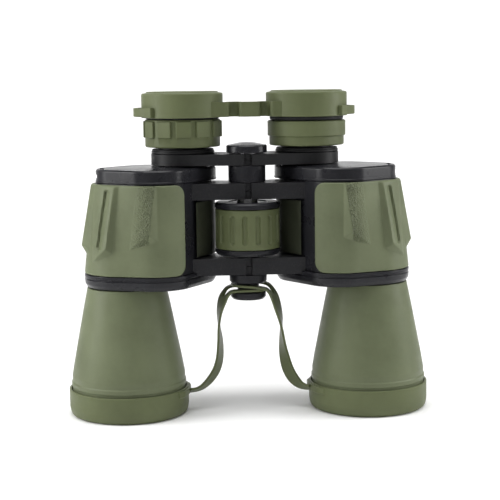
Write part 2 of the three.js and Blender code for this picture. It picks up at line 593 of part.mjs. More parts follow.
// ---- hinge line ---------------------------------------------------------------------------------
add('hinge_axle', hingeAxle(), steel);
add('hinge_collar', ringOnHinge(collar, SMALL), black);
add('hinge_foot', ringOnHinge(foot, SMALL), black);
add('focus_wheel_hub', ringOnHinge(wheelHub, ROUND), black);
add('focus_wheel_grip', wheelGrip(), green);
add('focus_spindle', cut(onHinge(spindle, SMALL), crossPin(PIN.radius + GAP)), steel);
add('focus_drive_pin', crossPin(PIN.radius), steel);
add('bridge_knob', onHinge(bridgeKnob, ROUND), black);
add('socket_cover', onHinge(socketCover, SMALL), black);
add('socket_cover_stud', onHinge(stud, SMALL), steel);

export default binoculars;
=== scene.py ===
# Astronomy binoculars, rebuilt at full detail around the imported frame. Lengths here are millimetres in
# the frame's axes, turned into metres as each mesh is made. Most pieces come in mirror-image pairs, so
# shapes are drawn for the right half, with x counted outward from the hinge, and side is -1 or 1.
import math

import bmesh
import bpy
from mathutils import Matrix, Vector, noise


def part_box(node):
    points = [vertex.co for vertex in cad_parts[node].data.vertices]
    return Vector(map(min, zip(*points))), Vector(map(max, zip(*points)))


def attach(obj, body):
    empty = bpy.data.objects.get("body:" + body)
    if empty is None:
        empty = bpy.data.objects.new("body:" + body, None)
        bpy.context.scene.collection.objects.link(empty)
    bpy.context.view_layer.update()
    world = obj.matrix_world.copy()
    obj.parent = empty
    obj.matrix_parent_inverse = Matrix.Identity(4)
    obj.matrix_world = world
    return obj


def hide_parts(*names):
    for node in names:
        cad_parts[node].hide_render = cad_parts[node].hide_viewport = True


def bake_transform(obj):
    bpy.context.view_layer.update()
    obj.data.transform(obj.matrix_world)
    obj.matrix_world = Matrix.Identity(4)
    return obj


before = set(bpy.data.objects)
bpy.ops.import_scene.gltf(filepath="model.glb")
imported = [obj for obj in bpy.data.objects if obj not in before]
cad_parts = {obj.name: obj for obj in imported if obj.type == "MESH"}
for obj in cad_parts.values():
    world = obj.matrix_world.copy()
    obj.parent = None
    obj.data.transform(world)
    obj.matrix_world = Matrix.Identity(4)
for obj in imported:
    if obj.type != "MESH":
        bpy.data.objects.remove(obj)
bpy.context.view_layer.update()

MM = 0.001
SIDES = {"left": -1, "right": 1}
TUBE_BODY = {"left": "focus_carriage", "right": "right_eyepiece"}
CELL_BODY = {"left": "dioptre_cell", "right": "right_eyepiece"}
EYECUP_BODY = {"left": "dioptre_ring", "right": "right_eyepiece"}


# ---- places and sizes, from the frame -----------------------------------------------------------
def span(node, axis):
    low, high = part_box(node)
    return low[axis] / MM, high[axis] / MM


def middle(node):
    return [sum(span(node, axis)) / 2 for axis in (0, 1)]


HINGE = middle("focus_wheel_hub")
EYE = middle("right_eyecup")
CAP_X, CAP_TOP = middle("right_lens_ring")[0], span("right_objective_cap", 2)[1]
OBJECTIVE = [CAP_X, 0.0]
ARMOR_LOW, ARMOR_HIGH = span("right_rubber_armor", 2)
ARMOR_EDGE = span("right_rubber_armor", 0)[0]
FLANGE_LOW, FLANGE_HIGH = span("right_lower_flange", 2)
BARREL_TOP = FLANGE_LOW - 0.3
HOUSING_HIGH = span("right_prism_housing", 2)[1]
COVER_LOW, COVER_HIGH = span("right_top_cover", 2)
BRIDGE_LOW, BRIDGE_HIGH = span("right_bridge_arm", 2)
WHEEL_LOW, WHEEL_HIGH = span("focus_wheel_hub", 2)
WHEEL_RADIUS = (span("focus_wheel_hub", 0)[1] - span("focus_wheel_hub", 0)[0]) / 2
EYE_CAP_LOW, EYE_CAP_HIGH = span("right_eyepiece_cap", 2)
FOOT_LOW, FOOT_HIGH = span("hinge_foot", 2)
COVER_KNOB_LOW, COVER_KNOB_TOP = span("socket_cover", 2)
COLLAR_LOW, COLLAR_HIGH = span("hinge_collar", 2)

LOWER_ARM = (74.7, 83.6)
UPPER_ARM = (114.8, 123.3)
ARM_FRONT = -12.0
EYE_CAP_RADIUS = 21.8
TUBE_BORE = 13.2
AXLE_BORE = 5.9
SPINDLE_BORE = 5.4
FOLD_WEDGE = math.tan(math.radians(17))  # how much the arms fall back so that the halves can fold


# ---- camera, floor and light --------------------------------------------------------------------
def look(obj, target):
    direction = Vector(target) - obj.location
    obj.rotation_euler = direction.to_track_quat("-Z", "Y").to_euler()


def add_camera():
    distance, height, yaw = 0.7167, 0.1809, 0.0743
    pitch, roll, focal_pixels = 0.131, -0.0126, 1346.8
    sideways = 0.0013
    data = bpy.data.cameras.new("camera")
    data.sensor_width = 36.0
    data.lens = 36.0 * focal_pixels / 500
    data.clip_start = 0.05
    camera = bpy.data.objects.new("camera", data)
    bpy.context.collection.objects.link(camera)
    turn = Matrix.Rotation(-yaw, 4, "Z")
    place = Matrix.Translation((sideways, -distance, height))
    tilt = Matrix.Rotation(math.pi / 2 - pitch, 4, "X")
    camera.matrix_world = turn @ place @ tilt @ Matrix.Rotation(roll, 4, "Z")
    bpy.context.scene.camera = camera


def add_light(name, place, size, watts, target=(0, 0, 0.09)):
    data = bpy.data.lights.new(name, "AREA")
    data.shape = "RECTANGLE"
    data.size, data.size_y = size
    data.energy = watts
    light = bpy.data.objects.new(name, data)
    bpy.context.collection.objects.link(light)
    light.location = place
    look(light, target)


def add_stage():
    mesh = bpy.data.meshes.new("floor")
    reach, back, rise, bend = 3.0, 1.6, 2.4, 0.5
    profile = [(-reach, 0.0)] + [
        (back + bend * math.sin(a * math.pi / 24), bend - bend * math.cos(a * math.pi / 24))
        for a in range(13)
    ] + [(back + bend, rise)]
    vertices = [(x, y, z) for y, z in profile for x in (-reach, reach)]
    faces = [(2 * i, 2 * i + 1, 2 * i + 3, 2 * i + 2) for i in range(len(profile) - 1)]
    mesh.from_pydata(vertices, [], faces)
    mesh.shade_smooth()
    floor = bpy.data.objects.new("floor", mesh)
    bpy.context.collection.objects.link(floor)
    pale = Nodes("floor").finish(Base_Color=(0.96, 0.96, 0.96), Roughness=0.9, Specular_IOR_Level=0.1)
    mesh.materials.append(pale)


def add_studio():
    add_camera()
    add_stage()
    add_light("left_side_box", (-0.42, -0.06, 0.26), (0.20, 0.36), 1.5)
    add_light("right_side_box", (0.42, -0.04, 0.26), (0.20, 0.36), 1.2)
    add_light("left_front_box", (-0.36, -0.46, 0.30), (0.22, 0.30), 0.27)
    add_light("right_front_box", (0.36, -0.44, 0.30), (0.22, 0.30), 0.2)
    add_light("front_fill", (-0.15, -1.1, 0.50), (0.5, 0.4), 0.3)
    add_light("top_softbox", (0.0, -0.15, 1.2), (1.0, 0.8), 10)
    add_light("backdrop_light", (0.0, 0.9, 1.3), (2.0, 0.4), 27, target=(0, 1.9, 0.3))
    world = bpy.data.worlds.new("studio")
    world.use_nodes = True
    background = world.node_tree.nodes["Background"]
    background.inputs["Color"].default_value = (1, 1, 1, 1)
    background.inputs["Strength"].default_value = 0.07
    bpy.context.scene.world = world
    bpy.context.scene.view_settings.view_transform = "Standard"


# ---- materials ----------------------------------------------------------------------------------
class Nodes:
    """A material's node tree, with short ways to add nodes to it. Inputs are named with _ for a space."""

    def __init__(self, name):
        self.material = bpy.data.materials.new(name)
        self.material.use_nodes = True
        self.tree = self.material.node_tree
        self.shader = self.tree.nodes["Principled BSDF"]
        self.place = self.add("TexCoord").outputs["Object"]

    def feed(self, socket, value):
        """Gives a socket a number, a colour or another node's output."""
        if isinstance(value, (int, float)):
            socket.default_value = value
        elif isinstance(value, tuple):
            socket.default_value = (*value, 1.0)
        else:
            self.tree.links.new(value, socket)

    def feed_all(self, node, inputs):
        for name, value in inputs.items():
            self.feed(node.inputs[name.replace("_", " ")], value)

    def add(self, kind, **inputs):
        node = self.tree.nodes.new(f"ShaderNode{kind}")
        self.feed_all(node, inputs)
        return node

    def noise(self, scale, detail=3.0, roughness=0.5, place=None):
        place = place or self.place
        node = self.add("TexNoise", Scale=scale, Detail=detail, Roughness=roughness, Vector=place)
        return node.outputs["Fac"]

    def cells(self, scale):
        node = self.add("TexVoronoi", Scale=scale, Vector=self.place)
        node.feature = "DISTANCE_TO_EDGE"
        return node.outputs["Distance"]

    def spread(self, value, low, high, to_low=0.0, to_high=1.0):
        node = self.add("MapRange", Value=value, From_Min=low, From_Max=high, To_Min=to_low, To_Max=to_high)
        return node.outputs["Result"]

    def times(self, a, b):
        node = self.add("Math")
        node.operation = "MULTIPLY"
        self.feed(node.inputs[0], a)
        self.feed(node.inputs[1], b)
        return node.outputs["Value"]

    def mix(self, factor, a, b):
        node = self.add("Mix")
        node.data_type = "RGBA"
        sockets = {socket.identifier: socket for socket in node.inputs}
        for key, value in (("Factor_Float", factor), ("A_Color", a), ("B_Color", b)):
            self.feed(sockets[key], value)
        return next(socket for socket in node.outputs if socket.identifier == "Result_Color")

    def attribute(self, name):
        node = self.add("Attribute")
        node.attribute_name = name
        return node.outputs["Fac"]

    def bump(self, *layers):
        """Each layer is (height, depth in mm), and roughens what the layers before it give."""
        normal = None
        for height, depth in layers:
            node = self.add("Bump", Distance=depth * MM, Height=height)
            if normal:
                self.feed(node.inputs["Normal"], normal)
            normal = node.outputs["Normal"]
        self.feed(self.shader.inputs["Normal"], normal)

    def finish(self, **inputs):
        self.feed_all(self.shader, inputs)
        return self.material


def green_rubber(name, color, roughness, dust, grain=False):
    """Matt olive rubber: slight mottling, a fine moulding texture and paler specks of dust. With grain, the
    part that the mesh's own grain attribute marks is wrinkled like leather, and the wrinkles' hollows get
    painted shade."""
    n = Nodes(name)
    darker = tuple(0.86 * c for c in color)
    lighter = tuple(min(1.0, 1.12 * c + 0.004) for c in color)
    mottled = n.mix(n.spread(n.noise(38, 4), 0.3, 0.7), darker, lighter)
    paler = tuple(min(1.0, 1.35 * c + 0.012) for c in color)
    dust_and_hollow_shade = n.mix(n.times(n.noise(420, 2), dust), mottled, paler)
    rough = n.spread(n.noise(160, 3), 0.3, 0.7, roughness - 0.06, roughness + 0.07)
    layers = [(n.noise(240, 3), 0.05), (n.noise(2600, 2, 0.6), 0.035)]
    if grain:
        mask = n.attribute("grain")
        wrinkle = n.spread(n.cells(820), 0.0, 0.35)
        swirl = n.noise(900, 4, 0.65)
        layers.insert(0, (n.times(n.times(wrinkle, swirl), mask), 1.2))
        # Painted shade: where the wrinkles sit low, the colour is mixed toward the darker tone.
        dust_and_hollow_shade = n.mix(n.times(mask, n.spread(swirl, 0.45, 0.65, 0.18, 0.0)), dust_and_hollow_shade, darker)
    n.bump(*layers)
    return n.finish(Base_Color=dust_and_hollow_shade, Roughness=rough, Specular_IOR_Level=0.3)


def black_plastic(name, color, roughness, grain_depth, speckle):
    """Moulded or painted black: very fine texture, faint uneven sheen and a little dust."""
    n = Nodes(name)
    lifted = tuple(c + speckle for c in color)
    dusty = n.mix(n.spread(n.noise(900, 3), 0.5, 0.72), color, lifted)
    rough = n.spread(n.noise(70, 4), 0.3, 0.7, roughness - 0.05, roughness + 0.06)
    n.bump((n.noise(300, 2), 0.02), (n.noise(3200, 2, 0.7), grain_depth))
    return n.finish(Base_Color=dusty, Roughness=rough, Specular_IOR_Level=0.28)


def metal(name, color, roughness):
    """Turned metal: fine rings around the vertical axis."""
    n = Nodes(name)
    stretch = n.add("Mapping", Vector=n.place)
    stretch.inputs["Scale"].default_value = (1, 1, 60)
    rings = n.noise(160, 2, 0.6, stretch.outputs["Vector"])
    rough = n.spread(rings, 0.3, 0.7, roughness - 0.08, roughness + 0.1)
    n.bump((rings, 0.01))
    return n.finish(Base_Color=color, Roughness=rough, Metallic=1.0)


def lens_glass(name, color, painted_reflection, tint):
    """Optical glass, drawn as a deep glossy surface with a dark inside; a faint painted reflection in the
    coating's colour is mixed in toward grazing angles.
    """
    n = Nodes(name)
    facing = n.add("LayerWeight", Blend=0.35)
    # Painted reflection: the colour turns toward the coating's reflection colour where the surface is seen
    # at a slant.
    shade = n.mix(facing.outputs["Facing"], color, painted_reflection)
    specks = n.spread(n.noise(1500, 2), 0.66, 0.7, 0.03, 0.10)
    return n.finish(
        Base_Color=shade, Roughness=specks, Specular_IOR_Level=0.9,
        Coat_Weight=1.0, Coat_Roughness=0.02, Coat_Tint=tint,
    )


GREEN = (0.128, 0.148, 0.080)
CAP_GREEN = (0.106, 0.124, 0.055)
# The inner pad's near-black olive is painted shade for the hollow between the focus wheel and the housings.
PAD_PAINTED_SHADE_GREEN = (0.030, 0.034, 0.020)
# The second colour of each glass is the painted reflection of its coating.
CLEAR = {"color": (0.05, 0.055, 0.055), "painted_reflection": (0.5, 0.6, 0.58), "tint": (0.9, 1.0, 0.97)}
RED_COATED = {"color": (0.035, 0.012, 0.010), "painted_reflection": (0.55, 0.16, 0.09), "tint": (1.0, 0.6, 0.45)}
MATERIALS = {
    "green_armor": green_rubber("green_armor", GREEN, 0.5, 0.25, grain=True),
    "green_pad": green_rubber("green_pad", PAD_PAINTED_SHADE_GREEN, 0.5, 0.2),
    "green_barrel": green_rubber("green_barrel", GREEN, 0.46, 0.15),
    "green_cap": green_rubber("green_cap", CAP_GREEN, 0.5, 0.2),
    "green_ring": green_rubber("green_ring", CAP_GREEN, 0.5, 0.2),
    "green_strap": green_rubber("green_strap", CAP_GREEN, 0.4, 0.15),
    "black_satin": black_plastic("black_satin", (0.013, 0.013, 0.016), 0.29, 0.010, 0.006),
    "black_housing": black_plastic("black_housing", (0.014, 0.014, 0.016), 0.42, 0.030, 0.008),
    "black_anodised": black_plastic("black_anodised", (0.012, 0.012, 0.013), 0.45, 0.015, 0.004),
    "black_rubber": black_plastic("black_rubber", (0.018, 0.018, 0.019), 0.6, 0.04, 0.01),
    "steel": metal("steel", (0.55, 0.55, 0.56), 0.3),
    "clear_glass": lens_glass("clear_glass", **CLEAR),
    "coated_glass": lens_glass("coated_glass", **RED_COATED),
}


# ---- mesh making --------------------------------------------------------------------------------
SHARP = math.radians(32)  # edges that turn by more than this are shaded crisp


def settle(obj, sharp=SHARP):
    """Faces out, smooth shading with crisp edges."""
    mesh = obj.data
    work = bmesh.new()
    work.from_mesh(mesh)
    bmesh.ops.remove_doubles(work, verts=work.verts, dist=1e-7)
    bmesh.ops.recalc_face_normals(work, faces=work.faces)
    work.to_mesh(mesh)
    work.free()
    mesh.shade_smooth()
    mesh.set_sharp_from_angle(angle=sharp)
    if "weighted" not in obj.modifiers:
        weighted = obj.modifiers.new("weighted", "WEIGHTED_NORMAL")
        weighted.keep_sharp = True


def solid(name, vertices, faces, side=1, sharp=SHARP):
    """A piece from points in millimetres, drawn for the right half and mirrored for the left."""
    mesh = bpy.data.meshes.new(name)
    placed = [(side * x * MM, y * MM, z * MM) for x, y, z in vertices]
    mesh.from_pydata(placed, [], [tuple(face) for face in faces])
    obj = bpy.data.objects.new(name, mesh)
    bpy.context.collection.objects.link(obj)
    settle(obj, sharp)
    return obj


def done(obj, node, body, slot):
    """Gives a finished piece its material, hides the CAD node that it stands for and hangs it on the body
    that it rides on; a piece between two bodies only has its place baked in.
    """
    obj.data.materials.clear()
    obj.data.materials.append(MATERIALS[slot])
    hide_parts(node)
    if isinstance(body, str):
        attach(obj, body)
    else:
        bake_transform(obj)


def rounded(corners, closed=True, steps=6):
    """An outline from its corners; a corner (a, b, radius) is rounded off by an arc."""
    points = []
    count = len(corners)
    for i, corner in enumerate(corners):
        here = Vector(corner[:2])
        radius = corner[2] if len(corner) > 2 else 0
        if not radius or (not closed and i in (0, count - 1)):
            points.append(tuple(here))
            continue
        before = Vector(corners[i - 1][:2]) - here
        after = Vector(corners[(i + 1) % count][:2]) - here
        half = before.angle(after) / 2
        reach = min(radius / math.tan(half), 0.48 * before.length, 0.48 * after.length)
        before.normalize()
        after.normalize()
        centre = here + (before + after).normalized() * reach / math.cos(half)
        first, last = here + before * reach - centre, here + after * reach - centre
        turn = first.angle_signed(last)
        for k in range(steps + 1):
            spoke = Matrix.Rotation(-turn * k / steps, 2) @ first
            points.append(tuple(centre + spoke))
    return points


def rings_to_solid(name, rings, closed, side=1):
    """Joins rings of matching points. A closed row of them meets its own start, an open one is capped."""
    count = len(rings[0])
    vertices = [point for ring in rings for point in ring]
    faces = []
    last = len(rings) if closed else len(rings) - 1
    for i in range(last):
        a, b = i * count, ((i + 1) % len(rings)) * count
        for k in range(count):
            n = (k + 1) % count
            faces.append((a + k, a + n, b + n, b + k))
    if not closed:
        faces.append(tuple(range(count)))
        faces.append(tuple(range((len(rings) - 1) * count, len(rings) * count)))
    return solid(name, vertices, faces, side)


def spot(centre, radius, angle, height):
    """A point at an angle and a radius around a vertical axis."""
    return centre[0] + radius * math.cos(angle), centre[1] + radius * math.sin(angle), height


def turned(name, corners, centre, side=1, segments=128, steps=6):
    """Turns an outline of (radius, height, rounding) about a vertical axis. One that starts and ends on
    the axis is a full body, any other closes on itself."""
    on_axis = corners[0][0] == 0
    profile = rounded(corners, closed=not on_axis, steps=steps)
    rings = [
        [spot(centre, max(radius, 0.0), 2 * math.pi * k / segments, height) for k in range(segments)]
        for radius, height in profile
    ]
    return rings_to_solid(name, rings, closed=not on_axis, side=side)


def arc_band(name, section, centre, degrees, steps, side, taper=0.0):
    """Runs a section of (radius, height, rounding) along an arc. Its ends can sink inward by a taper."""
    section = rounded(section)
    start, end = degrees
    rings = []
    for i in range(steps + 1):
        angle = math.radians(start + (end - start) * i / steps)
        sunk = taper * (1 - min(1.0, i / 5, (steps - i) / 5))
        rings.append([spot(centre, radius - sunk, angle, z) for radius, z in section])
    band = rings_to_solid(name, rings, closed=False, side=side)
    round_edges(band, 0.3)
    return band


def around(circles, grow, count=160):
    """The outline around a set of circles (x, y, radius), one point for each direction that it faces."""
    points = []
    for i in range(count):
        angle = 2 * math.pi * (i + 0.5) / count
        ux, uy = math.cos(angle), math.sin(angle)
        x, y, r = max(circles, key=lambda c: c[0] * ux + c[1] * uy + c[2])
        points.append((x + (r + grow) * ux, y + (r + grow) * uy))
    return points


def banded(name, circles_at, section, side=1, closed=True):
    """Runs a section of (growth, height, rounding) around an outline that may change with height."""
    rings = []
    for grow, height in rounded(section, closed=closed):
        rings.append([(x, y, height) for x, y in around(circles_at(height), grow)])
    return rings_to_solid(name, rings, closed, side)


def slab(name, outline, low, high, side=1, bevel=0.0):
    """A flat plate from its plan, with an optional rounding along its edges."""
    rings = [[(x, y, z) for x, y in outline] for z in (low, high)]
    obj = rings_to_solid(name, rings, closed=False, side=side)
    if bevel:
        round_edges(obj, bevel)
    return obj


def block(name, x0, x1, y0, y1, z0, z1, side=1, bevel=0.0):
    return slab(name, [(x0, y0), (x1, y0), (x1, y1), (x0, y1)], z0, z1, side, bevel)


def modify(obj, kind, **settings):
    """Makes one modifier's work into the mesh itself, ahead of the one that weights the normals."""
    modifier = obj.modifiers.new(kind, kind)
    for name, value in settings.items():
        setattr(modifier, name, value)
    obj.modifiers.move(len(obj.modifiers) - 1, 0)
    graph = bpy.context.evaluated_depsgraph_get()
    mesh = bpy.data.meshes.new_from_object(obj.evaluated_get(graph))
    old = obj.data
    obj.modifiers.clear()
    obj.data = mesh
    bpy.data.meshes.remove(old)


def round_edges(obj, width, segments=3, angle=40):
    modify(
        obj, "BEVEL", width=width * MM, segments=segments, limit_method="ANGLE",
        angle_limit=math.radians(angle), use_clamp_overlap=True,
    )
    settle(obj)


def combine(obj, others, operation):
    for other in others:
        modify(obj, "BOOLEAN", operation=operation, solver="EXACT", object=other)
        bpy.data.objects.remove(other)
    settle(obj)


def cut(obj, *tools):
    combine(obj, tools, "DIFFERENCE")


def join(obj, *others):
    combine(obj, others, "UNION")


def rod(name, x, y, radius, low, high, side=1, segments=96):
    return turned(name, [(0, low), (radius, low), (radius, high), (0, high)], (x, y), side, segments)


# ---- objective end ------------------------------------------------------------------------------
def objective_barrel(name, side):
    barrel = turned(f"{name}_barrel", [
        (28.8, 3), (30.1, 3, 0.6), (30.3, 5, 1), (30.3, 15.3, 0.3), (30.7, 16.0, 0.4), (30.7, 17.9, 0.4),
        (30.2, 18.6, 0.3), (30.2, 21.5, 4), (28.9, 29, 8), (23.8, 55, 30), (21, BARREL_TOP, 0.3),
        (18.6, BARREL_TOP), (18.6, 75.6, 0.4), (16.6, 75.6), (16.6, 68), (25, 30), (24.2, 27.6),
        (24.2, 26.3), (25.8, 26.3), (25.8, 10), (27.6, 3),
    ], OBJECTIVE, side, segments=160)
    done(barrel, f"{name}_objective_barrel", f"{name}_half", "green_barrel")


def objective_lenses(name, side):
    crown = turned(f"{name}_crown_glass", [
        (0, 17.4), (9, 17.75, 30), (18, 18.8, 30), (25.4, 20.4, 0.2), (25.4, 22), (18, 23.1, 30),
        (9, 23.9, 30), (0, 24.2),
    ], OBJECTIVE, side, steps=10)
    done(crown, f"{name}_crown_lens", f"{name}_half", "coated_glass")
    flint = turned(f"{name}_flint_glass", [
        (0, 24.5), (9, 24.2, 30), (18, 23.4, 30), (25.4, 22.3), (25.4, 26, 0.2), (0, 26),
    ], OBJECTIVE, side, steps=10)
    done(flint, f"{name}_flint_lens", f"{name}_half", "clear_glass")
    retainer = turned(f"{name}_retainer", [
        (25.5, 16.4), (25.5, 19.7), (24.6, 19.7, 0.2), (24.6, 18.9), (23.6, 18.9, 0.2), (23.6, 16.4, 0.5),
    ], OBJECTIVE, side)
    notches = [
        block("notch", CAP_X + s * 25.8, CAP_X + s * 23.2, -1, 1, 16, 17.4, side) for s in (-1, 1)
    ]
    cut(retainer, *notches)
    done(retainer, f"{name}_lens_ring", f"{name}_half", "black_anodised")


def objective_cap(name, side):
    body = f"{name}_objective_cap"
    cup = turned(f"{name}_front_cap", [
        (0, 0.5), (20, 0.5, 0.3), (21, 0, 0.3), (31.2, 0, 2.8), (32, 5, 3), (32, CAP_TOP, 0.45),
        (30.8, CAP_TOP, 0.3), (30.8, 2.6, 0.8), (29.6, 1.7, 0.5), (0, 1.7),
    ], OBJECTIVE, side, segments=160)
    done(cup, body, body, "green_cap")
    # The pad on the wall that the strap is moulded to, on the inner side towards the front.
    section = [(31.4, 9.4), (33.2, 10.6, 0.5), (33.2, 13.7, 0.4), (31.4, 13.7)]
    pad = arc_band(f"{name}_cap_pad", section, OBJECTIVE, (164, 215), 32, side, taper=0.8)
    done(pad, body, body, "green_cap")


# ---- tethers ------------------------------------------------------------------------------------
# Each route starts where the strap leaves the ring around the socket cover's neck and ends in the
# cap's pad: (x outward, y, z, turn), the turn in degrees of the strap's width about its length.
# Before it come the ring's height and how much higher its far end is, so that the rings stay clear.
TETHERS = {
    "left": (66.2, -0.8, [
        (3.1, -2, 66.2, -3), (9.2, -2, 65.9, -10), (11.9, -2, 63.8, -19), (14.0, -2, 60.0, -25),
        (15.7, -2, 53.5, -11), (16.1, -2, 46.0, 4), (15.6, -2, 37.0, 19), (16.0, -2, 28.5, 27),
        (17.8, -2, 22.0, 32), (21.0, -2.2, 17.0, 32), (24.9, -2.8, 13.4, 27), (28.8, -3.8, 11.8, 22),
        (33.0, -5.0, 11.5, 22),
    ]),
    "right": (68.1, 0.2, [
        (3.1, -2, 68.1, -4), (9.2, -2, 67.1, -13), (12.0, -2, 64.8, -22), (14.2, -2, 60.7, -29),
        (16.0, -2, 54.5, -25), (17.3, -2, 48.5, -14), (17.8, -2, 43.0, 0), (18.2, -2, 36.0, 14),
        (19.1, -2, 28.8, 30), (20.8, -2, 22.0, 40), (23.4, -2.2, 16.7, 42), (26.8, -2.8, 13.0, 34),
        (30.2, -3.8, 11.6, 26), (33.0, -5.0, 11.4, 24),
    ]),
}
STRAP_WIDTH, STRAP_THICKNESS = 8.0, 1.3
RING_INNER, RING_OUTER, RING_START = 6.3, 9.4, -9.3
RING_END = 15.5  # how far along the strap the ring has become a plain band


def smooth_route(points, steps=10):
    """Catmull-Rom through points of any number of values."""
    route = []
    for i in range(len(points) - 1):
        p0 = points[max(i - 1, 0)]
        p1, p2 = points[i], points[i + 1]
        p3 = points[min(i + 2, len(points) - 1)]
        for k in range(steps):
            t = k / steps
            route.append(tuple(
                0.5 * (2 * b + (c - a) * t + (2 * a - 5 * b + 4 * c - d) * t * t
                       + (3 * b - a - 3 * c + d) * t ** 3)
                for a, b, c, d in zip(p0, p1, p2, p3)
            ))
    route.append(tuple(points[-1]))
    return route


def strap_stations(ring_height, lean, route):
    """The strap's middle line as (distance past the neck's axis, place, turn)."""
    ring = [
        (RING_START, HINGE[1], ring_height + lean, 0.0),
        (-3.1, HINGE[1], ring_height + 0.4 * lean, 0.0),
    ]
    stations = []
    length = RING_START
    for *point, turn in smooth_route(ring + route):
        place = Vector(point)
        if stations:
            length += (place - stations[-1][1]).length
        stations.append((length, place, turn))
    return stations


def strap_widths(s):
    """Half of the strap's width, and half of the width of the ring's hole, at a distance along it."""
    if s < 0:
        wide = math.sqrt(max(RING_OUTER ** 2 - s * s, 0.04))
    else:
        t = min(1.0, s / RING_END)
        wide = RING_OUTER + (STRAP_WIDTH / 2 - RING_OUTER) * (t * t * (3 - 2 * t))
    hole = 0.0
    if -RING_INNER < s < 0:
        hole = math.sqrt(RING_INNER ** 2 - s * s)
    elif 0 <= s < RING_END:
        hole = RING_INNER * (1 - s / RING_END) ** 0.8
    return wide, hole


def cap_tether(name, side):
    """One strip with a slit along its middle, which opens into the ring around the neck."""
    stations = strap_stations(*TETHERS[name])
    count = len(stations)
    vertices = []
    for i, (s, centre, turn) in enumerate(stations):
        along = (stations[min(i + 1, count - 1)][1] - stations[max(i - 1, 0)][1]).normalized()
        down = Vector((0, 1, 0)).cross(along).normalized()
        angle = math.radians(turn)
        across = Vector((0, math.cos(angle), 0)) + math.sin(angle) * down
        normal = along.cross(across).normalized()
        across = normal.cross(along).normalized()
        wide, hole = strap_widths(s)
        under = [(-wide, -1), (-hole, -1), (hole, -1), (wide, -1)]
        for w, h in under + [(w, 1) for w, _ in reversed(under)]:
            vertices.append(tuple(centre + w * across + h * STRAP_THICKNESS / 2 * normal))
    faces = []
    for a in range(0, 8 * (count - 1), 8):
        b = a + 8
        for k, n in ((0, 1), (2, 3), (3, 4), (4, 5), (6, 7), (7, 0), (1, 6), (5, 2)):
            faces.append((a + k, a + n, b + n, b + k))
    for a in (0, 8 * (count - 1)):
        faces += [(a, a + 1, a + 6, a + 7), (a + 2, a + 3, a + 4, a + 5)]
    # Where the slit is closed its two walls fall together, and are left out.
    kept = []
    for face in faces:
        corners = {tuple(round(c, 4) for c in vertices[v]) for v in face}
        if len(corners) > 2:
            kept.append(face)
    strap = solid(f"{name}_strap", vertices, kept, side)
    drop_inner_walls(strap)
    round_edges(strap, 0.35, segments=2, angle=35)
    start = (side * 16.2 * MM, HINGE[1] * MM, 46 * MM)
    end = (side * 28.8 * MM, -3.8 * MM, 11.4 * MM)
    done(strap, f"{name}_cap_tether", (f"{name}_half", f"{name}_objective_cap", start, end), "green_strap")


def drop_inner_walls(obj):
    """Removes the faces inside a merged solid: those with at least two edges that other walls share."""
    work = bmesh.new()
    work.from_mesh(obj.data)
    inside = [f for f in work.faces if sum(len(e.link_faces) > 2 for e in f.edges) >= 2]
    bmesh.ops.delete(work, geom=inside, context="FACES")
    bmesh.ops.recalc_face_normals(work, faces=work.faces)
    work.to_mesh(obj.data)
    work.free()


# ---- prism housings -----------------------------------------------------------------------------
def outer_radius(height):
    return 22.2 - 5.1 * max(0.0, (height - FLANGE_HIGH) / (HOUSING_HIGH - FLANGE_HIGH))


def housing_circles(height):
    return [(CAP_X, 0.0, outer_radius(height)), (49, -6.5, 21), (*EYE, 16.8), (52, 8, 20)]


def cover_circles(_height):
    return [(CAP_X, 0.0, 15), (49, -6.5, 19.2), (*EYE, 17.5), (52, 8, 18.4)]


def lower_flange(name, side):
    low, high, groove = FLANGE_LOW, FLANGE_HIGH, 73.6
    plate = banded(f"{name}_flange", lambda _height: housing_circles(high), [
        (-14, low), (-1.6, low, 1.0), (-0.2, low + 2.2, 1.2), (0, groove, 0.2),
        (-0.45, groove + 0.3, 0.1), (-0.45, groove + 0.8, 0.1), (0, groove + 1.1, 0.2),
        (0, high, 0.35), (-14, high),
    ], side, closed=False)
    cut(
        plate,
        rod("bore", CAP_X, 0, 18.9, low - 1, high + 1, side),
        block("arm_space", 0.5, 40, ARM_FRONT - 0.3, 18, LOWER_ARM[0] - 0.3, LOWER_ARM[1], side),
    )
    done(plate, f"{name}_lower_flange", f"{name}_half", "black_satin")


def arm_plan():
    inner, outer, back = 1.6, 30, 17
    return [
        (inner, ARM_FRONT), (outer, ARM_FRONT), (outer, back), (24, back - 1),
        (inner + 10 * FOLD_WEDGE, HINGE[1] + 10), (inner, HINGE[1]),
    ]


def add_knuckle(arm, low, high, side):
    """Ends an arm in its knuckle. Of each pair the left half holds the upper one, the right the lower."""
    radius, room, gap = 8.4, 9.0, 0.15
    meeting = (low + high) / 2
    if side < 0:
        own, other = (meeting + gap, high), (low - 1, meeting + gap)
    else:
        own, other = (low, meeting - gap), (meeting - gap, high + 1)
    cut(arm, rod("clearance", *HINGE, room, *other, side))
    join(arm, rod("knuckle", *HINGE, radius, *own, side))


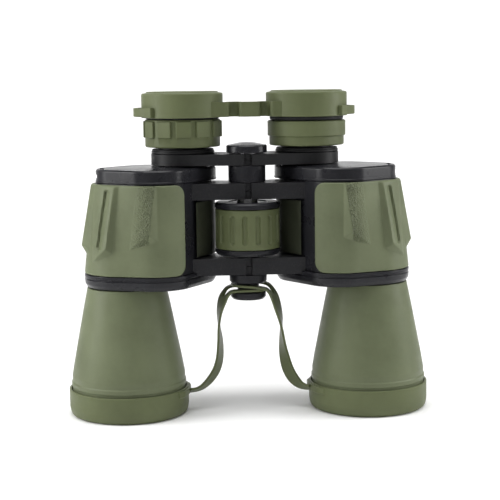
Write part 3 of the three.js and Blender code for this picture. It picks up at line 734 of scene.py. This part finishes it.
def prism_housing(name, side):
    outer, inner, low = -1.9, -4.2, FLANGE_HIGH + 0.3
    shell = banded(f"{name}_shell", housing_circles, [
        (outer, low), (outer, HOUSING_HIGH), (inner, HOUSING_HIGH), (inner, low),
    ], side)
    cut(shell, rod("tube_bore", *EYE, TUBE_BORE, 111, HOUSING_HIGH + 0.8, side))
    done(shell, f"{name}_prism_housing", f"{name}_half", "black_satin")
    for level, (low, high) in (("lower", LOWER_ARM), ("upper", UPPER_ARM)):
        arm = slab(f"{name}_{level}_arm", arm_plan(), low, high, side)
        add_knuckle(arm, low, high, side)
        cut(arm, rod("pin_bore", *HINGE, AXLE_BORE, low - 1, high + 1, side))
        # The arm stops inside the shell's wall.
        cut(arm, slab("hollow", around(housing_circles(low), -3.4), low - 1, high + 1, side))
        round_edges(arm, 0.5)
        done(arm, f"{name}_prism_housing", f"{name}_half", "black_housing")


def inner_pad(name, side):
    low, high = LOWER_ARM[1] + 1, UPPER_ARM[0] - 1
    band = banded(f"{name}_inner_rubber", housing_circles, [
        (-1.6, low), (0, low, 0.6), (0, high, 0.6), (-1.6, high),
    ], side)
    keep = block("keep", 10, 27.6, -60, 60, low - 1, high + 1, side)
    combine(band, [keep], "INTERSECT")
    round_edges(band, 0.45)
    # The pad's near-black olive colour is painted shade for the hollow beside the focus wheel.
    done(band, f"{name}_inner_pad", f"{name}_half", "green_pad")


def top_cover(name, side):
    low, high = COVER_LOW, COVER_HIGH
    slot_inner, slot_outer, way_outer, half_width = 75.4, 77.6, 84, 4.5
    cover = banded(f"{name}_lid", cover_circles, [
        (-14.5, low), (0.25, low, 0.15), (0.25, low + 0.8, 0.15), (0, low + 1.1, 0.2),
        (0, high - 1.4, 0.9),
        (-0.9, high - 0.5, 0.5), (-2.0, high - 0.55, 0.6), (-3.2, high - 0.8, 1), (-8, high - 0.3, 20),
        (-14.5, high),
    ], side, closed=False)
    cut(
        cover,
        rod("tube_bore", *EYE, TUBE_BORE, low - 1, high + 1, side),
        block("strap_slot", slot_inner, slot_outer, -half_width, half_width, low + 2, high + 1, side, 0.3),
        block("strap_way", slot_inner, way_outer, -half_width, half_width, low + 2, low + 4.2, side, 0.3),
    )
    done(cover, f"{name}_top_cover", f"{name}_half", "black_satin")


# ---- rubber armour ------------------------------------------------------------------------------
class Rib:
    """A wedge on the armour: two long facets meet along a ridge, and a third closes it below.
    Its pairs are (value at the top, value at the foot), and run down the front to a foot's height."""

    def __init__(self, base, ridge, far, height, base_low, ridge_low, corner):
        self.pairs = [(base, base_low), (ridge, ridge_low), (far, ridge_low), (height, ridge_low)]
        # The lower facet: the plane through the ridge's foot and the two lower corners.
        p = Vector((ridge[1], ridge_low, height[1]))
        q = Vector((base[1], base_low, 0))
        r = Vector((corner[0], corner[1], 0))
        normal = (q - p).cross(r - p)
        self.plane = (p, normal)

    def lines(self, z):
        """At a height: x of the base, of the ridge and of the far edge, and how high the ridge stands."""
        return [
            at_top + (at_foot - at_top) * (RIB_TOP - z) / (RIB_TOP - low)
            for (at_top, at_foot), low in self.pairs
        ]

    def raised(self, x, z):
        base, ridge, far, height = self.lines(z)
        if x < ridge:
            facet = height * (x - base) / (ridge - base)
        else:
            facet = height * (far - x) / (far - ridge)
        p, normal = self.plane
        below = p.z - (normal.x * (x - p.x) + normal.y * (z - p.y)) / normal.z
        return max(0.0, soft_min(facet, below, 0.12))


def soft_min(a, b, width):
    blend = max(0.0, min(1.0, 0.5 + 0.5 * (b - a) / width))
    return b + (a - b) * blend - width * blend * (1 - blend)


RIB_TOP = ARMOR_HIGH - 1
OUTER_RIB = Rib((67.6, 71.7), (69.3, 73.7), (81.0, 82.2), (1.5, 3.6), 88.6, 91.1, (82.2, 83.3))
INNER_RIB = Rib((48.1, 48.0), (49.2, 52.0), (58.5, 61.8), (1.2, 3.2), 95.5, 98.4, (61.9, 91.2))


def slot_depth(x, z):
    """The round-ended slot in the outer rib: deep along its outer wall, running out inward."""
    top, foot, half_width = Vector((73.2, 119.8)), Vector((77.5, 92.0)), 1.65
    line = foot - top
    place = Vector((x, z)) - top
    t = max(0.0, min(1.0, place.dot(line) / line.length_squared))
    away = place - t * line
    distance = away.length
    if distance > half_width:
        return 0.0
    across = 0.5 + 0.5 * away.x / half_width
    wall = min(1.0, (half_width - distance) / 0.35)
    return wall * (0.45 + 1.05 * across)


def armor_height(x, z, facing):
    """How far the rubber stands out at a place on the housing: ribs on the front, mirrored on the back."""
    height = OUTER_RIB.raised(x, z) + INNER_RIB.raised(x, z) - slot_depth(x, z)
    # A low rib on the outermost side, thicker toward its foot, where it slopes back.
    foot_low, foot_high, top_rise, foot_rise = 87.0, 92.0, 0.5, 2.8
    side_on = max(0.0, 1 - abs(facing) / 0.42)
    bulge = top_rise + (foot_rise - top_rise) * (ARMOR_HIGH - z) / (ARMOR_HIGH - foot_high)
    foot = max(0.0, (z - foot_low) * foot_rise / 4.3)
    return height + min(bulge, foot) * min(1.0, 1.9 * side_on)


def grain_mask(x, z):
    """1 on the inner rib's long facet, fading outward and downward."""
    _, ridge, far, _ = INNER_RIB.lines(z)
    if x < ridge + 0.2 or INNER_RIB.raised(x, z) <= 0.02:
        return 0.0
    return max(0.0, min(1.0, 1.25 - (x - ridge) / (far - ridge)))


ARMOR_THICKNESS = 1.6
ARMOR_CORNER = 5.9
ARMOR_ROLL = 0.7
ARMOR_CREASE = math.radians(50)
EDGE_STEPS = (0.0, 0.08, 0.22, 0.42, ARMOR_ROLL)
GRAIN_DEPTH = 0.36


def graded(first, last, count):
    """Places from first to last, evenly spaced but for a few close steps over each rolled edge."""
    flat = last - first - 2 * ARMOR_ROLL
    places = [first + step for step in EDGE_STEPS]
    places += [first + ARMOR_ROLL + flat * k / count for k in range(1, count)]
    places += [last - step for step in reversed(EDGE_STEPS)]
    return places


def edge_distance(s, z, length):
    """How far inside the panel's rounded outline a place is, laid flat: s along it, z up."""
    dx = min(s, length - s)
    dz = min(z - ARMOR_LOW, ARMOR_HIGH - z)
    if dx < ARMOR_CORNER and dz < ARMOR_CORNER:
        return ARMOR_CORNER - math.hypot(ARMOR_CORNER - dx, ARMOR_CORNER - dz)
    return min(dx, dz)


def armor_point(path, s, z):
    """The rubber's outer and inner point at a place on the panel, and how much grain it has."""
    x, y, nx, ny = place_on(path, s)
    inside = edge_distance(s, z, path[-1][0])
    drop = 0.0
    if inside < ARMOR_ROLL:
        drop = ARMOR_ROLL - math.sqrt(max(0.0, ARMOR_ROLL ** 2 - (ARMOR_ROLL - max(inside, 0.0)) ** 2))
    fade = max(0.0, min(1.0, inside / 1.2))
    grain = grain_mask(x, z)
    height = armor_height(x, z, ny) * (0.35 + 0.65 * fade) - drop
    if grain:
        height += GRAIN_DEPTH * grain * leather(x, y, z) * fade
    outer = (x + nx * height, y + ny * height, z)
    inner = (x - nx * ARMOR_THICKNESS, y - ny * ARMOR_THICKNESS, z)
    return outer, inner, grain


def rubber_armor(name, side):
    cell, columns = 0.5, 300
    row_count = int((ARMOR_HIGH - ARMOR_LOW - 2 * ARMOR_ROLL) / cell)
    rows, base, grain = [], [], []
    for z in graded(ARMOR_LOW, ARMOR_HIGH, row_count):
        path = panel_path(z)
        near_end = min(z - ARMOR_LOW, ARMOR_HIGH - z)
        inset = 0.0
        if near_end < ARMOR_CORNER:
            inset = ARMOR_CORNER - math.sqrt(ARMOR_CORNER ** 2 - (ARMOR_CORNER - near_end) ** 2)
        places = graded(inset, path[-1][0] - inset, columns)
        row, under, mask = zip(*(armor_point(path, s, z) for s in places))
        rows.append(row)
        base.append(under)
        grain.append(mask)
    armor = panel_solid(f"{name}_armor", rows, base, side)
    paint_grain(armor, rows, grain, side)
    done(armor, f"{name}_rubber_armor", f"{name}_half", "green_armor")


def leather(x, y, z):
    place = Vector((x, y, z))
    distance, _ = noise.voronoi(place * 0.95, distance_metric="DISTANCE", exponent=2.5)
    pebble = min(1.0, 2.2 * (distance[1] - distance[0]))
    return pebble - 0.5 + 0.5 * noise.noise(place * 1.7)


def panel_path(z):
    """The outline at a height, from the panel's inner front edge round the outside to its inner back
    edge, as (distance along, x, y, normal)."""
    count = 1440
    dense = around(housing_circles(z), 0.0, count)
    path = []
    started = False
    last = None
    length = 0.0
    # Directions run anticlockwise from the inner end: the front is at 270 degrees, the outside at 0.
    for k in range(count):
        i = (k + count // 2) % count
        angle = 2 * math.pi * (i + 0.5) / count
        here = (*dense[i], math.cos(angle), math.sin(angle))
        if here[0] >= ARMOR_EDGE:
            if not started and last is not None and last[0] < ARMOR_EDGE:
                path.append((0.0, *crossing(last, here)))
                started = True
            if started:
                length += math.dist(path[-1][1:3], here[:2])
                path.append((length, *here))
        elif started:
            end = crossing(last, here)
            length += math.dist(path[-1][1:3], end[:2])
            path.append((length, *end))
            break
        last = here
    return path


def crossing(a, b):
    t = (ARMOR_EDGE - a[0]) / (b[0] - a[0])
    return tuple(p + (q - p) * t for p, q in zip(a, b))


def place_on(path, s):
    low, high = 0, len(path) - 1
    while high - low > 1:
        halfway = (low + high) // 2
        if path[halfway][0] <= s:
            low = halfway
        else:
            high = halfway
    a, b = path[low], path[high]
    t = max(0.0, min(1.0, (s - a[0]) / max(b[0] - a[0], 1e-9)))
    x, y, nx, ny = (p + (q - p) * t for p, q in zip(a[1:], b[1:]))
    size = math.hypot(nx, ny)
    return x, y, nx / size, ny / size


def panel_solid(name, rows, base, side):
    """Closes a grid with a wall round its edge and a back made of upright strips."""
    height, width = len(rows), len(rows[0])
    vertices = [point for row in rows for point in row]
    faces = []
    for r in range(height - 1):
        for c in range(width - 1):
            a = r * width + c
            faces.append((a, a + 1, a + 1 + width, a + width))
    rim = [(0, c) for c in range(width)] + [(r, width - 1) for r in range(1, height)]
    rim += [(height - 1, c) for c in range(width - 2, -1, -1)]
    rim += [(r, 0) for r in range(height - 2, 0, -1)]
    under = {}
    for r, c in rim:
        under[(r, c)] = len(vertices)
        vertices.append(base[r][c])
    for i, (r, c) in enumerate(rim):
        nr, nc = rim[(i + 1) % len(rim)]
        faces.append((r * width + c, under[(r, c)], under[(nr, nc)], nr * width + nc))
    strip = 8
    for first in range(0, width - 1, strip):
        last = min(first + strip, width - 1)
        bottom = [under[(0, c)] for c in range(first, last + 1)]
        top = [under[(height - 1, c)] for c in range(last, first - 1, -1)]
        right = [under[(r, width - 1)] for r in range(1, height - 1)] if last == width - 1 else []
        left = [under[(r, 0)] for r in range(height - 2, 0, -1)] if first == 0 else []
        faces.append(tuple(bottom + right + top + left))
    return solid(name, vertices, faces, side, sharp=ARMOR_CREASE)


def paint_grain(obj, rows, grain, side):
    """Stores the leather grain's strength on each vertex, found again by its place."""
    found = {}
    for row, mask in zip(rows, grain):
        for (x, y, z), value in zip(row, mask):
            found[(round(side * x, 2), round(y, 2), round(z, 2))] = value
    layer = obj.data.attributes.new("grain", "FLOAT", "POINT")
    for vertex, item in zip(obj.data.vertices, layer.data):
        x, y, z = vertex.co / MM
        item.value = found.get((round(x, 2), round(y, 2), round(z, 2)), 0.0)


# ---- eyepieces ----------------------------------------------------------------------------------
def spin(obj, degrees, centre, side=1):
    """Turns a mesh in place about a vertical axis."""
    place = Matrix.Translation((side * centre[0] * MM, centre[1] * MM, 0))
    obj.data.transform(place @ Matrix.Rotation(math.radians(degrees), 4, "Z") @ place.inverted())


def bridge_arm(name, side):
    low, high = BRIDGE_LOW, BRIDGE_HIGH
    inner, reach = 2, 40
    plan = around([(*EYE, 17.1), (*HINGE, 10)], 0, 180)
    keep = [
        (inner, -reach), (2 * reach, -reach), (2 * reach, reach),
        (inner + (reach - HINGE[1]) * FOLD_WEDGE, reach), (inner, HINGE[1]),
    ]
    arm = slab(f"{name}_bridge", plan, low, high, side)
    combine(arm, [slab("keep", keep, low - 1, high + 1, side)], "INTERSECT")
    add_knuckle(arm, low, high, side)
    cut(
        arm,
        rod("pin_bore", *HINGE, SPINDLE_BORE, low - 1, high + 1, side),
        rod("tube_bore", *EYE, 15.4, low - 1, high + 1, side),
    )
    round_edges(arm, 0.45)
    done(arm, f"{name}_bridge_arm", TUBE_BODY[name], "black_anodised")


def eyepiece_tube(name, side):
    low = BRIDGE_LOW + 0.2
    tube = turned(f"{name}_tube", [
        (11.4, 113), (12.9, 113, 0.4), (12.9, low), (15.1, low, 0.2), (15.1, BRIDGE_HIGH + 0.3),
        (16.9, BRIDGE_HIGH + 0.3, 0.3), (16.9, 139.8, 0.3), (16.5, 140.1, 0.2), (16.5, 140.9, 0.4),
        (13.4, 140.9), (13.4, 150, 0.3), (12.2, 150), (12.2, 133.4), (11.4, 133.4),
    ], EYE, side)
    done(tube, f"{name}_eyepiece_tube", TUBE_BODY[name], "black_anodised")


def eyepiece_glass(name, side):
    field = turned(f"{name}_field_glass", [
        (0, 134.4), (6, 134.7, 20), (11.8, 136, 0.2), (11.8, 138.2, 0.2), (6, 139.3, 20), (0, 139.7),
    ], EYE, side, steps=10)
    done(field, f"{name}_field_lens", TUBE_BODY[name], "clear_glass")
    cell = turned(f"{name}_cell", [
        (10, 141), (11.9, 141, 0.2), (11.9, 156.2, 0.3), (9.2, 156.2, 0.3), (10.4, 155.0, 0.1),
        (10.7, 155.0), (10.7, 149.6), (10, 149.6),
    ], EYE, side)
    done(cell, f"{name}_ocular_cell", CELL_BODY[name], "black_anodised")
    lens = turned(f"{name}_eye_glass", [
        (0, 149.9), (10.3, 150.4), (10.3, 152.2, 0.2), (5.5, 154.0, 30), (0, 154.6),
    ], EYE, side, steps=12)
    done(lens, f"{name}_eye_lens", CELL_BODY[name], "coated_glass")


def dioptre_ring():
    low, high = span("left_dioptre_ring", 2)
    ring = turned("left_ring", [
        (13.8, low), (19.7, low, 0.3), (20.1, low + 0.6, 0.4), (20.1, high, 0.6), (12.3, high, 0.3),
        (12.3, 151.2), (13.8, 151.2),
    ], EYE, -1, segments=160)
    count, half_width, axis = 12, 4.05, -EYE[0]
    pads = []
    for i in range(count):
        pad = block(
            "pad", axis + 18.6, axis + 21, EYE[1] - half_width, EYE[1] + half_width, low + 5.1, high - 0.8,
        )
        round_edges(pad, 0.55, segments=4)
        spin(pad, 360 * i / count, EYE, -1)
        pads.append(pad)
    join(ring, *pads)
    done(ring, "left_dioptre_ring", "dioptre_ring", "green_ring")


def fixed_ring():
    low, high = span("right_eyepiece_ring", 2)
    ring = turned("right_ring", [
        (13.8, low), (19.7, low, 0.3), (20.1, low + 0.6, 0.4), (20.1, 146.8), (20.6, 147.1, 0.2),
        (21, 147.4, 0.3), (21, high - 0.5, 0.4), (20.4, high, 0.3), (12.3, high, 0.3), (12.3, 151.2),
        (13.8, 151.2),
    ], EYE, segments=160)
    done(ring, "right_eyepiece_ring", "right_eyepiece", "green_ring")


def eyecup(name, side):
    low, top = span(f"{name}_eyecup", 2)
    profile = [(12.6, low), (19.5, low, 0.3), (19.9, low + 1, 0.3)]
    height = low + 2
    while height < top - 2.4:
        profile += [(19.7, height, 0.15), (19.3, height + 0.3, 0.15), (19.3, height + 0.8, 0.15)]
        profile += [(19.65, height + 1.1, 0.15)]
        height += 1.9
    profile += [
        (19.2, top, 0.5), (17.7, top, 0.5), (17.9, low + 2.2, 0.8), (16.5, low + 1.5, 0.5),
        (12.6, low + 1.5, 0.3),
    ]
    cup = turned(f"{name}_cup", profile, EYE, side)
    done(cup, f"{name}_eyecup", EYECUP_BODY[name], "black_rubber")


def eyepiece_cap(name, side):
    low, high, radius = EYE_CAP_LOW, EYE_CAP_HIGH, EYE_CAP_RADIUS
    node = f"{name}_eyepiece_cap"
    cup = turned(f"{name}_cap", [
        (0, high - 1.6), (radius - 2.2, high - 1.6, 0.5), (radius - 1.1, high - 2.6, 0.5),
        (radius - 1.1, low), (radius + 0.1, low, 0.35), (radius + 0.1, low + 0.7, 0.3),
        (radius, low + 0.9, 0.3), (radius, high - 1.0, 0.9), (radius - 2.4, high - 0.6, 0.3),
        (radius - 2.9, high, 0.35), (0, high),
    ], EYE, side, segments=160)
    done(cup, node, node, "green_cap")
    # The neck-strap loop on the outer side: a bowed band that springs from two blocks on the wall. Its
    # ends stop inside the wall, behind the blocks.
    centre, inner, outer = (EYE[0] + 9.3, EYE[1]), 15.2, 16.8
    loop_low, loop_high, reach = low + 0.7, low + 5.3, 66
    section = [(inner, loop_low), (outer, loop_low, 0.4), (outer, loop_high, 0.4), (inner, loop_high)]
    band = arc_band(f"{name}_loop", section, centre, (-reach, reach), 48, side)
    done(band, node, node, "green_cap")
    for place, angle in (("front", -38), ("back", 38)):
        lug = block(
            f"{name}_{place}_lug", EYE[0] + radius - 0.8, EYE[0] + radius + 2.1,
            EYE[1] - 2.9, EYE[1] + 2.9, loop_low - 0.3, loop_high + 0.3, side, 0.5,
        )
        spin(lug, side * angle, EYE, side)
        done(lug, node, node, "green_cap")


def ribbon_plan(path, thickness):
    """The plan of a strip that follows a path, seen from above."""
    left, right = [], []
    for i, point in enumerate(path):
        before = Vector(path[max(i - 1, 0)])
        after = Vector(path[min(i + 1, len(path) - 1)])
        along = (after - before).normalized()
        out = Vector((-along.y, along.x)) * thickness / 2
        left.append(tuple(Vector(point) + out))
        right.append(tuple(Vector(point) - out))
    return left + right[::-1]


def eyepiece_cap_link():
    """A folded rubber strip between the caps; on the real binoculars the folds let it bend as the halves
    fold.
    """
    front, back, end, thickness = -5.3, 1.2, 18.6, 1.5
    low, high = EYE_CAP_LOW + 0.3, EYE_CAP_LOW + 8.2
    corners = [(-end, front)]
    for near, far in ((-9.9, -3.3), (6.6, 13.2)):
        corners += [(near, front, 1.3), (near, back, 3), (far, back, 3), (far, front, 1.3)]
    corners.append((end, front))
    path = rounded(corners, closed=False, steps=8)
    strip = slab("cap_link", ribbon_plan(path, thickness), low, high)
    join(strip, *(
        block("end", x0, x1, front - thickness / 2, front + 2.2, low, high)
        for x0, x1 in ((-17.2, -12.6), (15.6, 17.2))
    ))
    round_edges(strip, 0.35, angle=50)
    start, end = (-0.012, -0.002, 0.161), (0.012, -0.002, 0.161)
    bodies = ("left_eyepiece_cap", "right_eyepiece_cap", start, end)
    done(strip, "eyepiece_cap_link", bodies, "green_cap")


# ---- hinge line ---------------------------------------------------------------------------------
WHEEL_DISC = 3.1  # the thickness of the hub's two end discs
WHEEL_CORE = 13.3


def focus_wheel_hub():
    low, high, radius = WHEEL_LOW, WHEEL_HIGH, WHEEL_RADIUS
    sleeve_low, sleeve_high = low + 5, high - 5
    hub = turned("wheel_hub", [
        (AXLE_BORE, low, 0.3), (16.0, low, 0.8), (radius, low + 1.5, 0.5),
        (radius, low + WHEEL_DISC, 0.25), (WHEEL_CORE, low + WHEEL_DISC), (WHEEL_CORE, high - WHEEL_DISC),
        (radius, high - WHEEL_DISC, 0.25), (radius, high - 0.9, 0.6), (16.3, high, 0.5), (10.5, high, 0.3),
        (10.0, high - 0.5, 0.3), (AXLE_BORE, high - 0.5, 0.3), (AXLE_BORE, sleeve_high), (9, sleeve_high),
        (9, sleeve_low), (AXLE_BORE, sleeve_low),
    ], HINGE, segments=160)
    done(hub, "focus_wheel_hub", "focus_wheel", "black_satin")


def focus_wheel_grip():
    """A rubber sleeve with round-ended upright flutes."""
    low, high = WHEEL_LOW + WHEEL_DISC + 0.3, WHEEL_HIGH - WHEEL_DISC - 0.3
    inner, outer = WHEEL_CORE + 0.3, 17.15
    flutes, columns_each, first_flute = 15, 24, math.radians(15)
    depth, half_width, slope = 0.95, 1.45, 0.45
    flute_low, flute_high = low + 2.9 + half_width, high - 2.9 - half_width
    section = rounded([(inner, low), (outer, low, 0.45), (outer, high, 0.45), (inner, high)])
    count = 56
    heights = [low + 0.5 + (high - low - 1.0) * i / count for i in range(1, count)]
    split = next(i for i, p in enumerate(section) if p[1] > (low + high) / 2)
    section[split:split] = [(outer, z) for z in heights]
    columns = columns_each * flutes
    rings = []
    for radius, z in section:
        ring = []
        for k in range(columns):
            nearest = round(k / columns_each) * columns_each
            across = outer * 2 * math.pi * (k - nearest) / columns
            beyond = max(flute_low - z, z - flute_high, 0.0)
            inside = half_width - math.hypot(across, beyond)
            r = radius
            if inside > 0 and r > outer - 0.01:
                r -= depth * min(1.0, inside / slope)
            ring.append(spot(HINGE, r, 2 * math.pi * k / columns - math.pi / 2 + first_flute, z))
        rings.append(ring)
    sleeve = rings_to_solid("wheel_grip", rings, closed=True)
    done(sleeve, "focus_wheel_grip", "focus_wheel", "green_ring")


def hinge_line():
    collar = turned("collar", [
        (SPINDLE_BORE, COLLAR_LOW), (9.9, COLLAR_LOW, 0.3), (9.9, COLLAR_HIGH, 0.4),
        (SPINDLE_BORE, COLLAR_HIGH),
    ], HINGE)
    done(collar, "hinge_collar", "left_half", "black_satin")
    knob_low, knob_high = span("bridge_knob", 2)
    knob = turned("top_knob", [
        (0, knob_low), (10.5, knob_low, 0.2), (10.8, knob_low + 0.4, 0.3), (10.8, knob_high - 2.1, 0.5),
        (10.1, knob_high - 1.5, 0.4), (9.2, knob_high - 1.5, 0.3), (8.4, knob_high - 1.2, 2),
        (4, knob_high - 0.3, 8), (0, knob_high),
    ], HINGE)
    done(knob, "bridge_knob", "focus_carriage", "black_satin")
    bore, rim = 3.4, FOOT_LOW - 0.7
    foot = turned("foot", [
        (bore, FOOT_LOW), (6.5, FOOT_LOW), (6.5, rim), (9.2, rim, 0.5), (10, FOOT_LOW, 0.6),
        (10, FOOT_HIGH, 0.3), (bore, FOOT_HIGH),
    ], HINGE)
    done(foot, "hinge_foot", "left_half", "black_satin")
    radius, neck, shoulder, hollow = 9.5, 5.8, COVER_KNOB_LOW + 4, COVER_KNOB_LOW + 5.1
    cover = turned("tripod_cover", [
        (0, COVER_KNOB_LOW), (6.5, COVER_KNOB_LOW, 0.3), (8.4, COVER_KNOB_LOW + 0.1, 0.8),
        (radius, COVER_KNOB_LOW + 1.4, 0.6), (radius, shoulder, 0.6), (neck, shoulder, 0.3),
        (neck, COVER_KNOB_TOP), (bore, COVER_KNOB_TOP), (bore, hollow), (0, hollow),
    ], HINGE)
    done(cover, "socket_cover", "socket_cover", "black_satin")


def finish_inner_nodes():
    """The working parts inside keep their CAD shape and get a full material."""
    slots = {"steel": ["hinge_axle", "focus_spindle", "focus_drive_pin", "socket_cover_stud"]}
    for name in SIDES:
        slots.setdefault("black_anodised", []).append(f"{name}_prism_shelf")
        slots.setdefault("clear_glass", []).extend([f"{name}_upper_prism", f"{name}_lower_prism"])
    for slot, nodes in slots.items():
        for node in nodes:
            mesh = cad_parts[node].data
            mesh.materials.clear()
            mesh.materials.append(MATERIALS[slot])


# ---- the whole object ---------------------------------------------------------------------------
add_studio()
BUILDERS = (
    objective_barrel, objective_lenses, objective_cap, cap_tether, lower_flange, prism_housing, inner_pad,
    top_cover, rubber_armor, bridge_arm, eyepiece_tube, eyepiece_glass, eyecup, eyepiece_cap,
)
for side_name, side_sign in SIDES.items():
    for build in BUILDERS:
        build(side_name, side_sign)
dioptre_ring()
fixed_ring()
eyepiece_cap_link()
focus_wheel_hub()
focus_wheel_grip()
hinge_line()
finish_inner_nodes()
